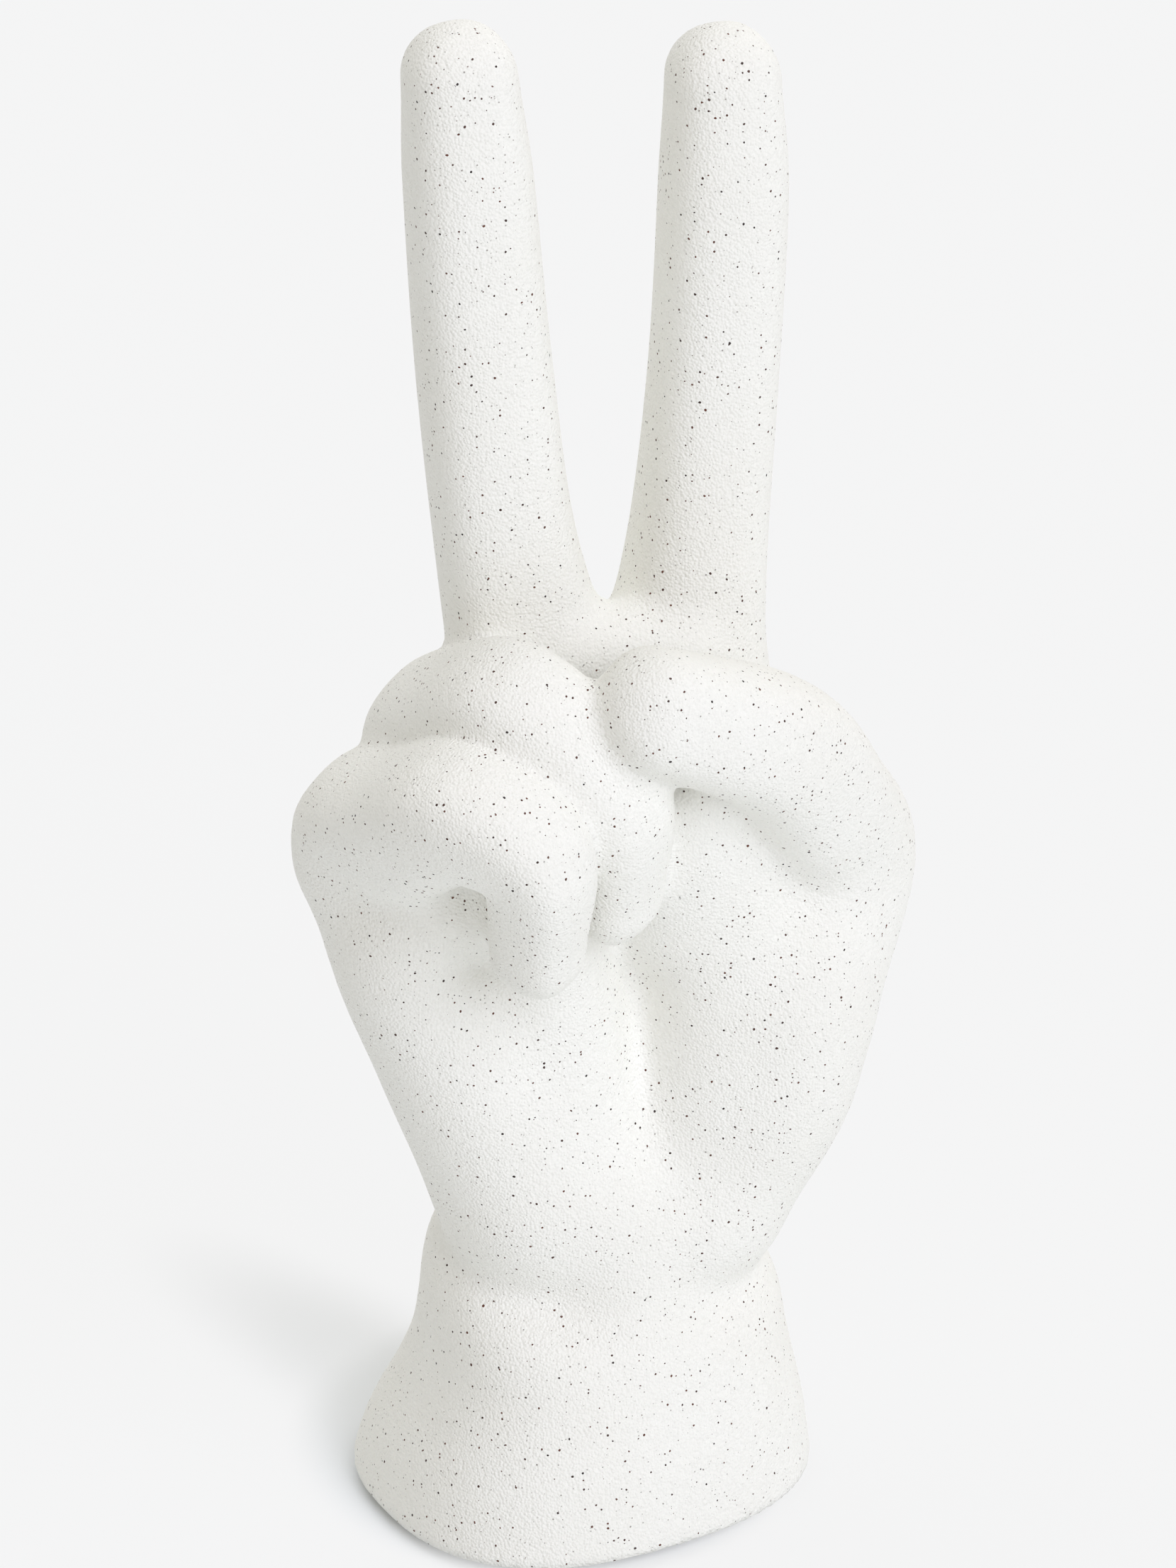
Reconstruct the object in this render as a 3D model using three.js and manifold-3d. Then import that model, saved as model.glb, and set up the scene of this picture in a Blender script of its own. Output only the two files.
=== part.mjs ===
// A free-standing stoneware hand giving the V sign, about life size. Millimetres, +Z up.
// The palm faces -Y and the thumb is on the +X side. The origin is the centre of the underside.
//
// The hand is slip-cast in hollow pieces: a palm and wrist, and five digits that are luted onto it with
// slip before the glaze goes on. A foot plate closes the drain opening, and a felt sole is glued underneath.
//
// A sculpted hand has no profile to extrude, so it is built as a sculptor builds it: rolls of clay laid along
// the bones, each with a radius at every joint, are blended into one skin. The skin is then hollowed, and
// parted along the lines where one roll meets the next.

import * as THREE from "three";
import { edgeTable, triTable } from "three/addons/objects/MarchingCubes.js";
import { mergeVertices } from "three/addons/utils/BufferGeometryUtils.js";
import Module from "manifold-3d";

const wasm = await Module();
wasm.setup();

// Castings: their wall, the floor round the drain, the bore of a digit, and the line of slip between two
const WALL = 5;
const FLOOR = 5;
const BORE_RADIUS = 4;
const SLIP_LINE = 0.3;

// Heights of the wrist, where the hand grows out of its cuff, and of the knuckles
const WRIST_HEIGHT = 50;
const PALM_LENGTH = 98;
const KNUCKLE_HEIGHT = WRIST_HEIGHT + PALM_LENGTH;

// How softly one form runs into the next: the width of the clay pressed into the corner
const PALM_BLEND = 12;
const LIFE_LINE_BLEND = 6;
const WRIST_BLEND = 12;
const FINGER_BLEND = 8;
const FOLDED_BLEND = 4;
const THUMB_BLEND = 6;
const CREASE_BLEND = 3;

// Rolls of the palm, as joints on the way to the knuckles: [across, depth, height above the wrist, radius]
const PALM_ROLLS = {
  index_metacarpal: [[10, 5, 10, 12.5], [19, 4, PALM_LENGTH, 13]],
  middle_metacarpal: [[2, 6, 10, 12.5], [-4, 5, PALM_LENGTH + 2, 13]],
  ring_metacarpal: [[-6, 5, 10, 12.5], [-22, 4, PALM_LENGTH - 6, 12]],
  little_metacarpal: [[-15, 2, 22, 12], [-38.5, 0, PALM_LENGTH - 22, 11.5]],
  heel: [[-10, -7.5, 8, 14.5], [16, -7.5, 5.5, 15]],
  tendons: [[0, -9, 12, 13], [4, -11, -12, 14]],
  hypothenar: [[-13.5, -7, 17, 15.8], [-23.7, -7.5, 42, 15], [-32.5, -8.5, 64, 12.5], [-28, -13, 75, 11]],
  mid_palm: [[-5, -6.5, 20, 13.5], [-9.5, -9.5, 50, 12], [-13, -14, 69, 11]],
};

// Rolls of the ball of the thumb, in the same terms. The crease of the life line sets it off from the palm.
const THENAR_ROLLS = {
  thenar: [[20, -6.5, 8, 14.5], [31, -11.5, 30, 13.8], [34.5, -12.5, 51, 13], [37, -9, 67, 12]],
  thenar_slope: [[15, -6.5, 16, 13], [20.5, -9, 36, 13.5], [22, -10, 58, 13], [22, -12, 78, 12]],
  cup: [[13, -10, 66, 11], [12.5, -16, 81, 10.5], [13, -18, 90, 10]],
};

// Rolls of the digits, from the palm to the tip: [across, depth, height above the knuckles, radius]. Each is
// luted to the palm some joints along, and its faces are flattened about the side to which its joints hinge.
const DIGITS = {
  index_finger: {
    luted: 0.75,
    side: [1, 0, 0],
    joints: [
      [18, 5, 0, 13.5],
      [21.1, 5, 28, 11.3],
      [23.3, 4.2, 58, 10.5],
      [24.2, 2.5, 92, 10.3],
      [23.8, 2, 109.5, 9.2],
    ],
  },
  middle_finger: {
    luted: 0.75,
    side: [1, 0, 0],
    joints: [
      [-6.5, 6, 2, 13.8],
      [-12.5, 5, 32, 11.6],
      [-16.2, 4, 64, 11],
      [-19, 2.5, 98, 10.3],
      [-20.3, 2, 114, 9.2],
    ],
  },
  ring_finger: {
    luted: 1.75,
    side: [0.74, 0.44, 0.5],
    joints: [
      [-22, 4, -8, 11],
      [-25, 3, -2.5, 11.6],
      [-23, -11, 7.5, 10.8],
      [-18, -23.5, 13, 10.8],
      [-5, -31, -1, 9.6],
      [-3, -25, -21.5, 8.3],
    ],
  },
  little_finger: {
    luted: 1.75,
    side: [0.75, 0.55, 0.36],
    joints: [
      [-36.5, 0, -22, 11],
      [-38.5, -3, -14.5, 11.8],
      [-34.5, -17, -8, 12],
      [-29, -32.5, 0.5, 11],
      [-20.3, -40, -5, 9.2],
      [-17.8, -34, -26, 7.4],
    ],
  },
  thumb: {
    luted: 1.5,
    side: [0.37, -0.93, 0],
    joints: [
      [33, -8, -52, 15],
      [42, -5, -30, 13.6],
      [34.3, -17, -11.7, 12.4],
      [25.7, -25.5, 2, 11.8],
      [13.5, -31, 10, 11],
      [2.5, -34, 15.5, 10.2],
    ],
  },
};
const FLATNESS = 0.6;

// Wrist and foot: oval sections from the foot upwards: [height, across, depth, half width, half depth]
const WRIST_SECTIONS = [
  [-8, -0.8, 0, 40.6, 35.8],
  [2, -0.7, 0, 39.8, 34.8],
  [8, -0.3, 0, 38.8, 33.5],
  [14, 0.3, -0.5, 37.4, 31.8],
  [22, 1.2, -1.4, 34.8, 29.2],
  [30, 1.8, -2, 32.6, 26.8],
  [WRIST_HEIGHT - 12, 2, -2.1, 31.7, 24.9],
  [WRIST_HEIGHT - 3, 2, -1.5, 30.8, 23.7],
  [WRIST_HEIGHT + 16, 2, -1, 30, 22],
];
const OVAL_POWER = 2.5;
const FOOT_TURN = THREE.MathUtils.degToRad(13);

// The cuff's top: how far it rises for each millimetre across and back, and how softly its edge is rounded
const CUFF_SLANT = { across: -0.13, back: 0.3 };
const CUFF_ROUND = 14;

// Felt sole, and the foot plate in its rebate round the drain
const SOLE = { halfWidth: 34, halfDepth: 29.5, thickness: 1.5 };
const GLUE_LINE = 0.3;
const PLATE = { halfWidth: 24, halfDepth: 20, thickness: 3.5 };
const LEDGE = 3;
const VENT_RADIUS = 3;

// Heights above the ground
const FOOT_UNDERSIDE = SOLE.thickness + GLUE_LINE;
const REBATE_TOP = FOOT_UNDERSIDE + PLATE.thickness + SLIP_LINE;
const FLOOR_TOP = REBATE_TOP + FLOOR;

// Facets: lattice cells of the skin, the hollow and the seams, and the sides of a bore, an oval and the vent
const SKIN_CELL = 4.8;
const HOLLOW_CELL = 9;
const SEAM_CELL = 6;
const BORE_SIDES = 6;
const OVAL_SIDES = 40;
const VENT_SIDES = 24;

// Straight lengths in which a roll or a bore bends from one joint to the next
const ROLL_LENGTHS = 4;
const BORE_LENGTHS = 3;

// How far a seam runs out past the skin
const SEAM_REACH = 9;

// How far a digit reaches across the slip line of the one that is parted before it
const SEAM_LEAD = 4 * SLIP_LINE;

// Settling of a facet's corner onto the skin: how near to a lattice point it may start, in shares of a cell,
// how many moves it makes, how far each may go, the step over which the slope is taken, and its least square
const SETTLE = { start: 0.15, moves: 3, reach: SKIN_CELL / 3, step: 0.02, least: 0.05 };

const GLAZE = { color: "#e8e7e2", roughness: 0.6, metalness: 0 };
const BARE_STONEWARE = { color: "#d6cfc2", roughness: 0.85, metalness: 0 };
const FELT = { color: "#6f7074", roughness: 0.95, metalness: 0 };

// Distance to a straight length of a roll, which tapers, and whose faces may be flattened about a flank
function taperedLength(x, y, z, { start, axis, length, radius, slant, flank }) {
  const px = x - start.x;
  const py = y - start.y;
  const pz = z - start.z;
  const along = px * axis.x + py * axis.y + pz * axis.z;
  let away2 = Math.max(px * px + py * py + pz * pz - along * along, Number.EPSILON);
  if (flank) {
    const aside = px * flank.x + py * flank.y + pz * flank.z;
    const aside2 = Math.min(aside * aside, away2);
    away2 -= FLATNESS * aside2 * (1 - aside2 / away2);
  }
  const away = Math.sqrt(away2);
  const foot = THREE.MathUtils.clamp(along - (away * slant) / Math.sqrt(1 - slant * slant), 0, length);
  return Math.hypot(away, along - foot) - radius + slant * foot;
}

// The lower of two distances, with the corner between them filled over a width
function blend(a, b, width) {
  const h = Math.max(width - Math.abs(a - b), 0) / width;
  return Math.min(a, b) - (h * h * h * width) / 6;
}

// A curve through the joints of a roll, and the same roll in short straight lengths
function pathOf(joints, base) {
  return new THREE.CatmullRomCurve3(joints.map(([x, y, z]) => new THREE.Vector3(x, y, z + base)));
}

function bent(joints, base, side) {
  const path = pathOf(joints, base);
  const girth = new THREE.SplineCurve(joints.map((joint, i) => new THREE.Vector2(i, joint[3])));
  const steps = ROLL_LENGTHS * (joints.length - 1);
  return Array.from({ length: steps }, (_, i) => {
    const start = path.getPoint(i / steps);
    const axis = path.getPoint((i + 1) / steps).sub(start);
    const length = axis.length();
    const radius = girth.getPoint(i / steps).y;
    const slant = (radius - girth.getPoint((i + 1) / steps).y) / length;
    axis.divideScalar(length);
    const flank = side && new THREE.Vector3(...side).projectOnPlane(axis).normalize();
    return { start, axis, length, radius, slant, flank };
  });
}

function roll(lengths, x, y, z) {
  let d = Infinity;
  for (const each of lengths) {
    d = Math.min(d, taperedLength(x, y, z, each));
  }
  return d;
}

const palmRolls = Object.values(PALM_ROLLS).map((joints) => bent(joints, WRIST_HEIGHT));
const thenarRolls = Object.values(THENAR_ROLLS).map((joints) => bent(joints, WRIST_HEIGHT));
const digitRolls = {};
for (const [name, { joints, side }] of Object.entries(DIGITS)) {
  digitRolls[name] = bent(joints, KNUCKLE_HEIGHT, side);
}

function digit(name, x, y, z) {
  return roll(digitRolls[name], x, y, z);
}

// Rolls pressed into one mass
function pressed(rolls, x, y, z) {
  let d = Infinity;
  for (const lengths of rolls) {
    d = blend(d, roll(lengths, x, y, z), PALM_BLEND);
  }
  return d;
}

const wristHeights = WRIST_SECTIONS.map((section) => section[0]);
const wristMiddle = new THREE.SplineCurve(WRIST_SECTIONS.map(([, x, y]) => new THREE.Vector2(x, y)));
const wristHalf = new THREE.SplineCurve(WRIST_SECTIONS.map(([, , , w, d]) => new THREE.Vector2(w, d)));

// How far up the list of sections a height lies, from 0 at the foot to 1 at the top
function wristShare(z) {
  const last = wristHeights.length - 1;
  let i = 1;
  while (i < last && z > wristHeights[i]) {
    i++;
  }
  const below = wristHeights[i - 1];
  const t = THREE.MathUtils.clamp((z - below) / (wristHeights[i] - below), 0, 1);
  return (i - 1 + t) / last;
}

function wrist(x, y, z) {
  const share = wristShare(z);
  const middle = wristMiddle.getPoint(share);
  const half = wristHalf.getPoint(share);
  const u = ((x - middle.x) * Math.cos(FOOT_TURN) + (y - middle.y) * Math.sin(FOOT_TURN)) / half.x;
  const v = ((y - middle.y) * Math.cos(FOOT_TURN) - (x - middle.x) * Math.sin(FOOT_TURN)) / half.y;
  const q = (Math.abs(u) ** OVAL_POWER + Math.abs(v) ** OVAL_POWER) ** (1 / OVAL_POWER);
  const side = (q - 1) * Math.min(half.x, half.y);
  const top = WRIST_HEIGHT + CUFF_SLANT.across * x + CUFF_SLANT.back * y;
  return -blend(-side, top - z, CUFF_ROUND);
}

function palmAndWrist(x, y, z) {
  const palm = blend(pressed(palmRolls, x, y, z), pressed(thenarRolls, x, y, z), LIFE_LINE_BLEND);
  return blend(palm, wrist(x, y, z), WRIST_BLEND);
}

// The whole hand. Its foot runs on into the ground, below the plane at which it is trimmed flat.
function hand(x, y, z) {
  const upright = blend(digit("index_finger", x, y, z), digit("middle_finger", x, y, z), FINGER_BLEND);
  const folded = blend(digit("ring_finger", x, y, z), digit("little_finger", x, y, z), CREASE_BLEND);
  const webbed = blend(palmAndWrist(x, y, z), digit("thumb", x, y, z), THUMB_BLEND);
  const d = blend(blend(webbed, upright, FINGER_BLEND), folded, FOLDED_BLEND);
  return Math.max(d, -FLOOR_TOP - z);
}

// The hollow that the slip leaves when the mould is drained
function hollow(x, y, z) {
  return -blend(-palmAndWrist(x, y, z) - WALL, z - FLOOR_TOP, WALL);
}

// A digit's share of the hand: beyond its luting plane, and nearer to its own roll than to any other. Digits
// are parted in the order of the list, so a later one reaches into the slip line that an earlier one left.
function shareOf(name) {
  const { luted, joints } = DIGITS[name];
  const t = luted / (joints.length - 1);
  const path = pathOf(joints, KNUCKLE_HEIGHT);
  const seat = path.getPoint(t);
  const axis = path.getTangent(t);
  const names = Object.keys(DIGITS);
  const earlier = names.slice(0, names.indexOf(name));
  const later = names.slice(names.indexOf(name) + 1);
  return (x, y, z) => {
    const d = digit(name, x, y, z);
    const fromEarlier = Math.min(...earlier.map((other) => digit(other, x, y, z))) + SEAM_LEAD;
    const fromLater = Math.min(...later.map((other) => digit(other, x, y, z)));
    const nearer = (d - Math.min(palmAndWrist(x, y, z), fromEarlier, fromLater)) / 2;
    const short = (seat.x - x) * axis.x + (seat.y - y) * axis.y + (seat.z - z) * axis.z;
    return Math.max(d - SEAM_REACH, nearer, short);
  };
}

// Skins the places where a field is below zero, on a lattice of cubes, as a solid
function skin(field, cell, box, settle) {
  const low = box.min.clone().divideScalar(cell).floor();
  const n = box.max.clone().divideScalar(cell).ceil().sub(low).addScalar(1);
  const at = (i, j, k) => i + n.x * (j + n.y * k);
  const place = (i, j, k) => [(low.x + i) * cell, (low.y + j) * cell, (low.z + k) * cell];
  const values = new Float64Array(n.x * n.y * n.z);
  for (let k = 0; k < n.z; k++) {
    for (let j = 0; j < n.y; j++) {
      for (let i = 0; i < n.x; i++) {
        values[at(i, j, k)] = field(...place(i, j, k)) || Number.EPSILON;
      }
    }
  }
  const square = [[0, 0], [1, 0], [1, 1], [0, 1]];
  const corners = [0, 1].flatMap((level) => square.map(([a, b]) => [a, b, level]));
  const edges = [0, 4].flatMap((level) => [0, 1, 2, 3].map((c) => [level + c, level + ((c + 1) % 4)]));
  edges.push(...[0, 1, 2, 3].map((c) => [c, c + 4]));
  const vertices = [];
  const triangles = [];
  const known = new Map();

  // The vertex on a lattice edge, moved along the slope of the field until it lies on the skin
  function vertex(p, q) {
    const [a, b] = at(...p) < at(...q) ? [p, q] : [q, p];
    const key = at(...a) * n.x * n.y * n.z + at(...b);
    if (known.has(key)) return known.get(key);
    const va = values[at(...a)];
    const share = va / (va - values[at(...b)]);
    const t = settle ? THREE.MathUtils.clamp(share, SETTLE.start, 1 - SETTLE.start) : share;
    const pa = place(...a);
    const point = place(...b).map((c, axis) => pa[axis] + (c - pa[axis]) * t);
    for (let move = 0; settle && move < SETTLE.moves; move++) {
      const d = field(...point);
      const slope = new THREE.Vector3(
        (field(point[0] + SETTLE.step, point[1], point[2]) - d) / SETTLE.step,
        (field(point[0], point[1] + SETTLE.step, point[2]) - d) / SETTLE.step,
        (field(point[0], point[1], point[2] + SETTLE.step) - d) / SETTLE.step,
      );
      slope.multiplyScalar(d / Math.max(slope.lengthSq(), SETTLE.least)).clampLength(0, SETTLE.reach);
      point[0] -= slope.x;
      point[1] -= slope.y;
      point[2] -= slope.z;
    }
    known.set(key, vertices.length / 3);
    vertices.push(...point);
    return known.get(key);
  }

  // The facets of one cube of the lattice, from the table of the ways in which a skin crosses a cube
  function facets(i, j, k) {
    const cube = corners.map(([a, b, c]) => [i + a, j + b, k + c]);
    const inside = cube.map((p, bit) => (values[at(...p)] < 0 ? 1 << bit : 0));
    const way = inside.reduce((sum, bit) => sum + bit);
    if (!edgeTable[way]) return;
    for (let t = way * 16; triTable[t] !== -1; t += 3) {
      const [first, second, third] = [0, 1, 2].map((s) => {
        const [a, b] = edges[triTable[t + s]];
        return vertex(cube[a], cube[b]);
      });
      triangles.push(first, third, second);
    }
  }

  for (let k = 0; k + 1 < n.z; k++) {
    for (let j = 0; j + 1 < n.y; j++) {
      for (let i = 0; i + 1 < n.x; i++) {
        facets(i, j, k);
      }
    }
  }
  return solidOf(vertices, triangles);
}

function solidOf(vertices, triangles) {
  return new wasm.Manifold(
    new wasm.Mesh({
      numProp: 3,
      vertProperties: new Float32Array(vertices),
      triVerts: new Uint32Array(triangles),
    }),
  );
}

function toSolid(geometry) {
  geometry.deleteAttribute("normal");
  geometry.deleteAttribute("uv");
  const merged = mergeVertices(geometry);
  return solidOf(merged.attributes.position.array, merged.index.array);
}

function toMesh(name, solid, finish) {
  const { vertProperties, triVerts } = solid.getMesh();
  const geometry = new THREE.BufferGeometry();
  geometry.setAttribute("position", new THREE.BufferAttribute(vertProperties, 3));
  geometry.setIndex(new THREE.BufferAttribute(triVerts, 1));
  geometry.computeVertexNormals();
  const mesh = new THREE.Mesh(geometry, new THREE.MeshStandardMaterial(finish));
  mesh.name = name;
  return mesh;
}

// A flat oval slab, turned as the foot is
function ovalSlab(halfWidth, halfDepth, bottom, top) {
  const outline = new THREE.Shape(
    Array.from({ length: OVAL_SIDES }, (_, i) => {
      const angle = (2 * Math.PI * i) / OVAL_SIDES;
      const c = Math.cos(angle);
      const s = Math.sin(angle);
      const reach = (Math.abs(c) ** OVAL_POWER + Math.abs(s) ** OVAL_POWER) ** (-1 / OVAL_POWER);
      return new THREE.Vector2(halfWidth * c * reach, halfDepth * s * reach);
    }),
  );
  const slab = new THREE.ExtrudeGeometry(outline, { depth: top - bottom, bevelEnabled: false });
  return toSolid(slab.translate(0, 0, bottom).rotateZ(FOOT_TURN));
}

// The bore of a digit, from the hollow of the palm to the middle of its tip
function bore({ joints }) {
  const circle = new THREE.Shape().absarc(0, 0, BORE_RADIUS, 0, 2 * Math.PI);
  return toSolid(
    new THREE.ExtrudeGeometry(circle, {
      extrudePath: pathOf(joints, KNUCKLE_HEIGHT),
      steps: BORE_LENGTHS * (joints.length - 1),
      curveSegments: BORE_SIDES / 2,
    }),
  );
}

// The main body of a cut: crumbs left where three seams meet are wiped off
function mainBody(solid) {
  return solid.decompose().reduce((largest, body) => (body.volume() > largest.volume() ? body : largest));
}

// The space that the hand and its seams fill
const whole = new THREE.Box3();
const everyRoll = [...palmRolls, ...thenarRolls, ...Object.values(digitRolls)];
for (const { start, axis, length, radius } of everyRoll.flat()) {
  for (const end of [start, start.clone().addScaledVector(axis, length)]) {
    whole.union(new THREE.Sphere(end, radius).getBoundingBox(new THREE.Box3()));
  }
}
for (const [, x, y, halfWidth] of WRIST_SECTIONS) {
  whole.expandByPoint(new THREE.Vector3(x - halfWidth, y - halfWidth, -FLOOR_TOP));
  whole.expandByPoint(new THREE.Vector3(x + halfWidth, y + halfWidth, -FLOOR_TOP));
}
whole.expandByScalar(SEAM_REACH + SEAM_CELL);

const [, , , footHalfWidth, footHalfDepth] = WRIST_SECTIONS[0];
const underFoot = ovalSlab(footHalfWidth + WALL, footHalfDepth + WALL, -2 * FLOOR_TOP, FOOT_UNDERSIDE);
const drain = ovalSlab(PLATE.halfWidth - LEDGE, PLATE.halfDepth - LEDGE, -FLOOR_TOP, FLOOR_TOP + WALL);
const rebate = ovalSlab(PLATE.halfWidth + SLIP_LINE, PLATE.halfDepth + SLIP_LINE, -FLOOR_TOP, REBATE_TOP);

let shell = skin(hand, SKIN_CELL, whole, true).subtract(underFoot);
shell = shell.subtract(skin(hollow, HOLLOW_CELL, whole, true));
for (const each of Object.values(DIGITS)) {
  shell = shell.subtract(bore(each));
}

const group = new THREE.Group();
let rest = shell.subtract(drain).subtract(rebate);
for (const name of Object.keys(DIGITS)) {
  const share = shareOf(name);
  const casting = skin(share, SEAM_CELL, whole, false);
  const clearance = skin((x, y, z) => share(x, y, z) - SLIP_LINE, SEAM_CELL, whole, false);
  group.add(toMesh(name, mainBody(rest.intersect(casting).intersect(clearance)), GLAZE));
  rest = rest.subtract(clearance);
}
group.add(toMesh("palm_and_wrist", mainBody(rest), GLAZE));

const vent = new THREE.CylinderGeometry(VENT_RADIUS, VENT_RADIUS, 2 * FLOOR_TOP, VENT_SIDES);
const ventHole = toSolid(vent.rotateX(Math.PI / 2));
const plateTop = FOOT_UNDERSIDE + PLATE.thickness;
const plate = ovalSlab(PLATE.halfWidth, PLATE.halfDepth, FOOT_UNDERSIDE, plateTop);
group.add(toMesh("foot_plate", plate.subtract(ventHole), BARE_STONEWARE));
group.add(toMesh("felt_sole", ovalSlab(SOLE.halfWidth, SOLE.halfDepth, 0, SOLE.thickness), FELT));

export default group;
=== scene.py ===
# A free-standing stoneware hand giving the V sign, about life size, in a matte white glaze with dark
# specks. The file follows the potter: the studio first, then the clay of the palm, the digits, the luting
# of the castings, the glaze, and last the foot plate and the felt sole. Sizes are in millimetres.
import itertools
import math

import bpy
import numpy as np
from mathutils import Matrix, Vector
from mathutils.bvhtree import BVHTree


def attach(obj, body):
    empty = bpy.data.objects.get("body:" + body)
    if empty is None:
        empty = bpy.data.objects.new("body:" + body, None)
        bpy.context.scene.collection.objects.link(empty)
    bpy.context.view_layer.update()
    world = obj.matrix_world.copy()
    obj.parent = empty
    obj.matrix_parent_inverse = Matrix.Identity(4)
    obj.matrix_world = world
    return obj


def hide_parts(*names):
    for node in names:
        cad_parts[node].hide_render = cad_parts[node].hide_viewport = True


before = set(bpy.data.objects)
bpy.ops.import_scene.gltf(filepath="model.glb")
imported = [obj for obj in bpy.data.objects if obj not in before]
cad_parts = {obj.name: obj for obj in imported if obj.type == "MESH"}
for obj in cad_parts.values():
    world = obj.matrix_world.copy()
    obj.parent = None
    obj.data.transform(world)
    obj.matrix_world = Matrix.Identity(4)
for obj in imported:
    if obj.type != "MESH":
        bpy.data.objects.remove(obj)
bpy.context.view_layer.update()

# Camera
# A long lens about a metre away, a little left of the palm and looking down on it, so that the raised
# fingers lean back and the oval of the foot shows.
MM = 0.001
PHOTO_HEIGHT = 2212
PIXELS_PER_MM = 8.35
CAMERA_AZIMUTH = math.radians(-16)
CAMERA_ELEVATION = math.radians(26)
CAMERA_DISTANCE = 1100
CAMERA_TARGET = Vector((0.5, 0, 134.5))
SENSOR = 36

camera_back = Vector((
    math.sin(CAMERA_AZIMUTH) * math.cos(CAMERA_ELEVATION),
    -math.cos(CAMERA_AZIMUTH) * math.cos(CAMERA_ELEVATION),
    math.sin(CAMERA_ELEVATION),
))
camera_data = bpy.data.cameras.new("camera")
camera_data.sensor_width = SENSOR
camera_data.lens = SENSOR * PIXELS_PER_MM * CAMERA_DISTANCE / PHOTO_HEIGHT
camera = bpy.data.objects.new("camera", camera_data)
camera.location = (CAMERA_TARGET + camera_back * CAMERA_DISTANCE) * MM
camera.rotation_euler = camera_back.to_track_quat("Z", "Y").to_euler()
bpy.context.scene.collection.objects.link(camera)
bpy.context.scene.camera = camera

# Floor
# A wide sheet of pale matte paper. It is lit evenly, so it runs into the background of the same tone and
# shows nothing but the hand's soft shadow.
FLOOR_COLOUR = "#f5f5f5"
PAPER_COLOUR = "#f3f6f8"
FLOOR_HALF = 20000
FLAT_SHARE = 0.93

# Where the shadow shows: the spot's middle, reach and turn, the share of its reach over which the flat tone
# fades, and the share of that tone that is left inside
SHADOWS = {
    "cast": {"place": (-27, 40, 0), "reach": (24, 76, 100), "turn": 25, "fade": 0.8, "flat": 0.45},
    "contact": {"place": (-5, 10, 0), "reach": (47, 49, 100), "turn": 13, "fade": 0.25, "flat": 0},
}


def linear(colour):
    """The linear RGBA of an sRGB hex colour."""
    shares = [int(colour[i:i + 2], 16) / 255 for i in (1, 3, 5)]
    return [s / 12.92 if s <= 0.04045 else ((s + 0.055) / 1.055) ** 2.4 for s in shares] + [1]


def add_node(tree, kind, sockets=None, **settings):
    """Adds a node with its settings, and gives each input socket a value or a link."""
    made = tree.nodes.new(kind)
    for name, value in settings.items():
        setattr(made, name, value)
    for name, value in (sockets or {}).items():
        if isinstance(value, bpy.types.NodeSocket):
            tree.links.new(value, made.inputs[name])
        else:
            made.inputs[name].default_value = value
    return made


def new_material(name):
    """A new material, its empty node tree, and the Surface socket of its output."""
    material = bpy.data.materials.new(name)
    material.use_nodes = True
    material.node_tree.nodes.clear()
    output = material.node_tree.nodes.new("ShaderNodeOutputMaterial")
    return material, material.node_tree, output.inputs["Surface"]


def seen_share(tree):
    """A socket that is 1 on what is seen, straight, mirrored or through glass, and 0 for other rays."""
    rays = add_node(tree, "ShaderNodeLightPath")
    seen = rays.outputs["Is Camera Ray"]
    for kind in ("Is Glossy Ray", "Is Transmission Ray"):
        either = add_node(tree, "ShaderNodeMath", {0: seen, 1: rays.outputs[kind]}, operation="MAXIMUM")
        seen = either.outputs[0]
    return seen


# Matte paper: no gloss at all. It is seen mostly at its own flat tone, as paper lit from all sides is.
# Round the foot and beside it, it is seen by the light that falls on it, which keeps the hand's shadow.
floor_paper, tree, surface = new_material("matte_paper")
place = add_node(tree, "ShaderNodeTexCoord").outputs["Object"]
flat_share = add_node(tree, "ShaderNodeMath", {0: seen_share(tree), 1: FLAT_SHARE}, operation="MULTIPLY")
for shadow in SHADOWS.values():
    spot = add_node(tree, "ShaderNodeMapping", {
        "Vector": place, "Location": [v * MM for v in shadow["place"]],
        "Rotation": [0, 0, math.radians(shadow["turn"])], "Scale": [v * MM for v in shadow["reach"]]
    }, vector_type="TEXTURE")
    fade = add_node(tree, "ShaderNodeTexGradient", {"Vector": spot.outputs[0]}, gradient_type="SPHERICAL")
    flatness = add_node(tree, "ShaderNodeMapRange", {
        "Value": fade.outputs["Fac"], "From Min": 0, "From Max": shadow["fade"],
        "To Min": 1, "To Max": shadow["flat"]
    }, interpolation_type="SMOOTHSTEP")
    flat_share = add_node(tree, "ShaderNodeMath", {0: flat_share.outputs[0], 1: flatness.outputs[0]},
                          operation="MULTIPLY")
paper = add_node(tree, "ShaderNodeBsdfDiffuse", {"Color": linear(PAPER_COLOUR)})
flat = add_node(tree, "ShaderNodeEmission", {"Color": linear(FLOOR_COLOUR), "Strength": 1})
tree.links.new(add_node(tree, "ShaderNodeMixShader", {
    0: flat_share.outputs[0], 1: paper.outputs[0], 2: flat.outputs[0]
}).outputs[0], surface)

floor_mesh = bpy.data.meshes.new("floor")
floor_corners = [
    (x * FLOOR_HALF * MM, y * FLOOR_HALF * MM, 0) for x, y in ((-1, -1), (1, -1), (1, 1), (-1, 1))
]
floor_mesh.from_pydata(floor_corners, [], [(0, 1, 2, 3)])
floor_mesh.materials.append(floor_paper)
floor = bpy.data.objects.new("floor", floor_mesh)
bpy.context.scene.collection.objects.link(floor)

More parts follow.
